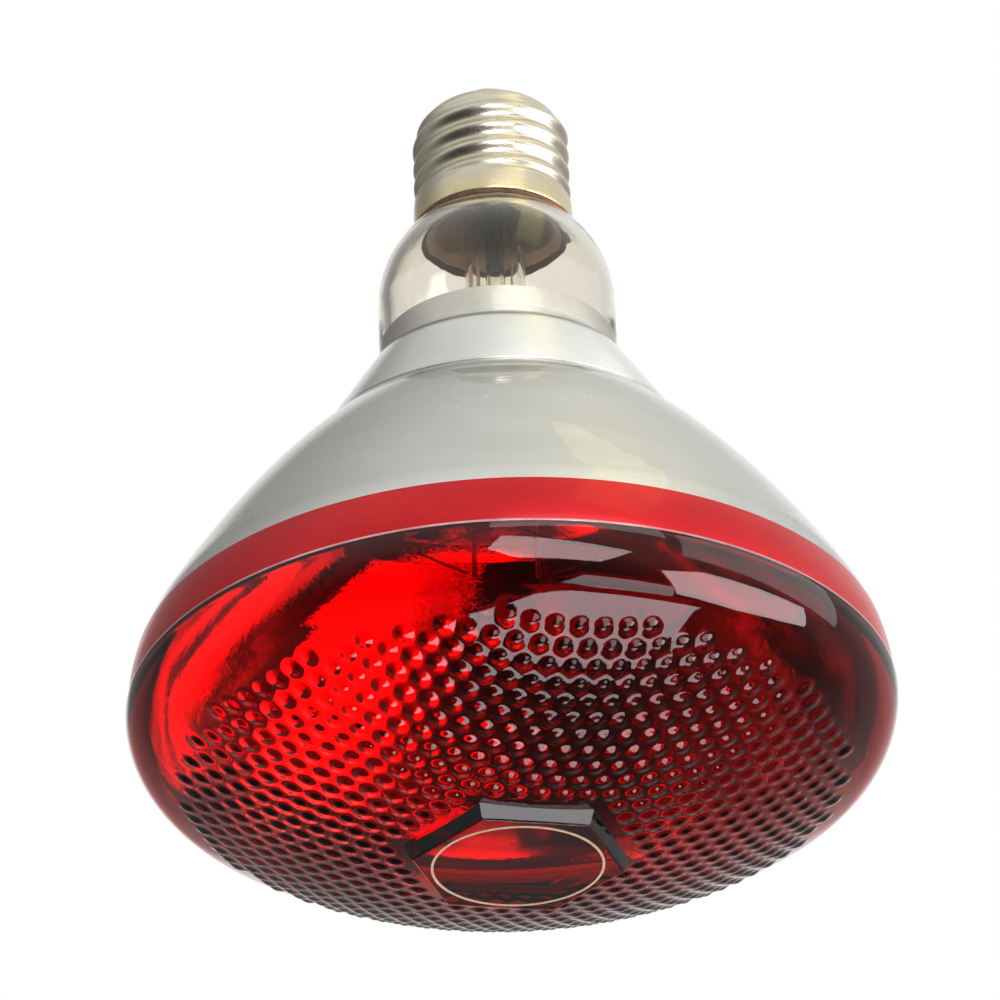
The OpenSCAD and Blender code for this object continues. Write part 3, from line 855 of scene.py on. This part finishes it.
def make_cement(putty, burnt):
    """The cement, which wets the glass, fills the cap and stands out a little under its rim."""
    ball = NECK_R - CEMENT_WET
    tube_out, bore = TUBE_R - CEMENT_WET, EYELET_BORE + CEMENT_BORE
    thread_in = ROOT_R - SHELL_T - CEMENT_WET
    skirt_in = SKIRT_R - SHELL_T + CEMENT_WET / 2
    skirt_level = SKIRT_LEVEL + 1.2
    bulge = SKIRT_R + CEMENT_BULGE

    def on_ball(r):
        """The point of the neck's ball at a radius."""
        return r, SHOULDER_LEVEL - math.sqrt(ball ** 2 - r ** 2)

    inside = [(tube_out, TUBE_LEVEL - 0.4), (bore, TUBE_LEVEL - 0.4),
              (bore, TUBE_LEVEL - CEMENT_TOP), (thread_in - 0.5, TUBE_LEVEL - CEMENT_TOP),
              (thread_in, TUBE_LEVEL), (thread_in, skirt_level), (skirt_in, skirt_level)]
    edge = [(skirt_in, CAP_LEVEL - 0.1), (SKIRT_R - 0.15, CAP_LEVEL - 0.02),
            (bulge, CAP_LEVEL + 0.15), (bulge + 0.06, CAP_LEVEL + 0.5), on_ball(bulge + 0.12)]
    seat = [on_ball(r) for r in np.linspace(skirt_in - 0.1, tube_out, 8)]
    fill = revolve("cement", inside + edge + seat, [putty, burnt],
                   second=lambda i: 0 <= i - len(inside) <= len(edge))
    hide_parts("basing_cement")


def make_bead(metal):
    """The solder bead where the thin wire meets the cap's rim: a lump drawn out along it."""
    turns, rows = 40, 20
    rings = []
    for row in range(rows + 1):
        lift = np.pi * (row / rows - 0.5)
        count = 1 if row in (0, rows) else turns
        turn = np.arange(count) * 2 * np.pi / count
        lump = 1 + 0.07 * np.sin(3 * turn + 1) * np.cos(lift) + 0.05 * np.sin(5 * turn + 4 * lift)
        rings.append(np.column_stack([BEAD_DEEP * np.cos(lift) * np.cos(turn) * lump,
                                      BEAD_LONG * np.cos(lift) * np.sin(turn) * lump,
                                      BEAD_HIGH * np.sin(lift) * np.ones(count)]))
    points, faces = skin(rings, False)
    points = points + [SKIRT_R + BEAD_OUT, 0, -CAP_LEVEL - BEAD_DOWN]
    points = points @ np.array(Matrix.Rotation(math.radians(BEAD_TURN), 3, "Z")).T
    bead = add_piece("rim_bead", points, faces, [metal], sharp=80)
    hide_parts("rim_solder")


def bow(along, reach, knots):
    """Points along the filament's bow, with its bends softened."""
    path = np.column_stack([np.interp(along, reach, knots[:, k]) for k in range(3)])
    wide = int(FILAMENT_BEND / COIL_PITCH * COIL_STEPS)
    padded = np.vstack([np.repeat(path[:1], wide, 0), path, np.repeat(path[-1:], wide, 0)])
    kernel = np.ones(2 * wide + 1) / (2 * wide + 1)
    soft = np.column_stack([np.convolve(padded[:, k], kernel, "valid") for k in range(3)])
    from_end = np.minimum(along, reach[-1] - along)
    share = np.clip(from_end / FILAMENT_BEND, 0, 1)[:, None]
    return path * (1 - share) + soft * share


def make_filament(metal):
    """The coiled filament, hung as a bow over its three hooks."""
    knots = np.array([(-FILAMENT_END, 0, -FILAMENT_LEVEL),
                      (-FILAMENT_X, -FILAMENT_SIDE_LEAN, -FILAMENT_SIDE),
                      (0, -FILAMENT_TOP_LEAN, -FILAMENT_TOP),
                      (FILAMENT_X, -FILAMENT_SIDE_LEAN, -FILAMENT_SIDE),
                      (FILAMENT_END, 0, -FILAMENT_LEVEL)], float)
    reach = np.concatenate([[0], np.cumsum(np.linalg.norm(np.diff(knots, axis=0), axis=1))])
    along = np.linspace(0, reach[-1], int(reach[-1] / COIL_PITCH * COIL_STEPS))
    path = bow(along, reach, knots)
    ahead = np.gradient(path, axis=0)
    ahead /= np.linalg.norm(ahead, axis=1)[:, None]
    side = np.cross(ahead, (0, 1, 0))
    side /= np.linalg.norm(side, axis=1)[:, None]
    up = np.cross(side, ahead)
    spin = (2 * np.pi * along / COIL_PITCH)[:, None]
    out = side * np.cos(spin) + up * np.sin(spin)
    centre = path + out * (FILAMENT_R - COIL_WIRE)
    turn = (np.arange(COIL_SIDES) * 2 * np.pi / COIL_SIDES)[:, None]
    rings = [middle + COIL_WIRE * (np.cos(turn) * away + np.sin(turn) * forward)
             for middle, away, forward in zip(centre, out, ahead)]
    points, faces = skin([centre[:1]] + rings + [centre[-1:]], False)
    coil = add_piece("filament_coil", points, faces, [metal], sharp=80)
    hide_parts("filament")


def dress(material, *nodes):
    """Gives CAD nodes that keep their shape a material and smooth shading."""
    for name in nodes:
        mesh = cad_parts[name].data
        mesh.materials.clear()
        mesh.materials.append(material)
        smooth(mesh, 35)


def direction(azimuth, elevation):
    """Unit vector from the lamp. Azimuth -90 is the camera's side, as seen from above."""
    a, e = math.radians(azimuth), math.radians(elevation)
    return Vector((math.cos(e) * math.cos(a), math.cos(e) * math.sin(a), math.sin(e)))


def make_world():
    """White for the camera and behind the lamp; elsewhere a grey room, lighter above."""
    world = bpy.data.worlds.new("studio")
    bpy.context.scene.world = world
    world.use_nodes = True
    g = Graph(world.node_tree)
    ray = g.node("LightPath").outputs
    where = g.node("TexCoord").outputs["Generated"]

    def spot(azimuth, elevation, edge, full, outside, inside):
        """A value for each direction: outside beyond the edge's angle, inside within full."""
        made = g.node("VectorMath", {"operation": "DOT_PRODUCT"})
        g.put(made, 0, where)
        g.put(made, 1, direction(azimuth, elevation))
        return g.ramp(made.outputs["Value"], math.cos(math.radians(edge)),
                      math.cos(math.radians(full)), outside, inside, "SMOOTHSTEP")

    height = g.node("SeparateXYZ", Vector=where).outputs["Z"]
    greys = g.node("ValToRGB", Fac=g.ramp(height, -1, 1, 0, 1))
    elements = greys.color_ramp.elements
    while len(elements) < len(ROOM):
        elements.new(0.5)
    for element, (sine, grey) in zip(elements, ROOM):
        element.position = (sine + 1) / 2
        element.color = (grey, grey, grey * ROOM_BLUE, 1)
    light = 1.0
    for azimuth, elevation, reach, share in PATCHES:
        light = g.calc("MULTIPLY", light, spot(azimuth, elevation, reach, 0, 1, share))
    room = g.tree.nodes["Background"]
    g.put(room, "Color", greys.outputs["Color"])
    g.put(room, "Strength", light)
    white = g.node("Background", Color=(1, 1, 1, 1))

    backdrop = spot(90 + CAMERA_TURN, CAMERA_BELOW, BACKDROP_REACH, BACKDROP_WHITE, 0, 1)
    seen = g.calc("MAXIMUM", ray["Is Glossy Ray"], ray["Is Transmission Ray"])
    seen = g.calc("MULTIPLY", seen, backdrop)
    join = g.node("MixShader", Fac=g.calc("MAXIMUM", ray["Is Camera Ray"], seen))
    g.put(join, 1, room.outputs[0])
    g.put(join, 2, white.outputs[0])
    g.put(g.tree.nodes["World Output"], "Surface", join.outputs[0])


def stage_mesh(name, points, material):
    """One face of the studio, in metres."""
    mesh = bpy.data.meshes.new(name)
    mesh.from_pydata(points, [], [tuple(range(len(points)))])
    mesh.materials.append(material)
    made = add_object(name, mesh)
    return made


def softbox(name, corners, strength, colour):
    """A glowing panel with its corners in these directions (azimuth, elevation) from the lamp."""
    g = Paint(name)
    glow = g.node("Emission", Color=(*colour, 1), Strength=strength)
    g.put(g.output, "Surface", glow.outputs[0])
    points = [STUDIO_CENTRE + direction(*corner) * PANEL_FAR * MM for corner in corners]
    panel = stage_mesh(name, points, g.material)
    panel.visible_camera = False
    panel.visible_shadow = False


def make_floor():
    """A pale floor far below the lamp, out of the photograph's picture."""
    g = Paint("floor")
    g.set(Base_Color=g.cloudy(g.noise(2, 3), 0.3, 0.7, (0.93, 0.93, 0.92), (0.96, 0.96, 0.95)),
          Roughness=0.9)
    reach = FLOOR_REACH * MM
    corners = [(-reach, -reach, 0), (reach, -reach, 0), (reach, reach, 0), (-reach, reach, 0)]
    floor = stage_mesh("floor", corners, g.material)
    floor.location = (0, 0, -FLOOR_DOWN * MM)
    floor.visible_glossy = False
    floor.visible_transmission = False


make_camera()
make_world()
make_floor()
for panel in PANELS:
    softbox(*panel)

make_bulb(clear_glass(), neck_glass(), film_back(), film_front())
make_red_band(red_lacquer())
make_lens(red_glass(), fused_edge())
make_cap(cap_nickel())
make_insulator(dark_glass())
make_bead(burnt_solder())
make_cement(cement(), burnt_cement())
make_filament(drawn_wire("tungsten", (0.30, 0.30, 0.31), (0.16, 0.16, 0.17), 0.35))
dress(contact_brass(), "contact_eyelet")
dress(solder(), "contact_solder")
dress(fired_ink(), "print_ring")
dress(stem_glass(), "stem_glass", "exhaust_tube", "hook_button")
dress(drawn_wire("lead_wire", (0.62, 0.42, 0.30), (0.35, 0.22, 0.15), 0.3),
      "lead_centre", "lead_side")
dress(drawn_wire("seal_wire", (0.45, 0.20, 0.16), (0.25, 0.12, 0.10), 0.4), "seal_wires")
dress(drawn_wire("nickel_post", (0.60, 0.58, 0.54), (0.42, 0.40, 0.37), 0.25),
      "post_left", "post_right")
dress(drawn_wire("hook_wire", (0.42, 0.42, 0.43), (0.25, 0.25, 0.26), 0.3), "hook_wires")

bpy.context.scene.view_settings.view_transform = "Standard"
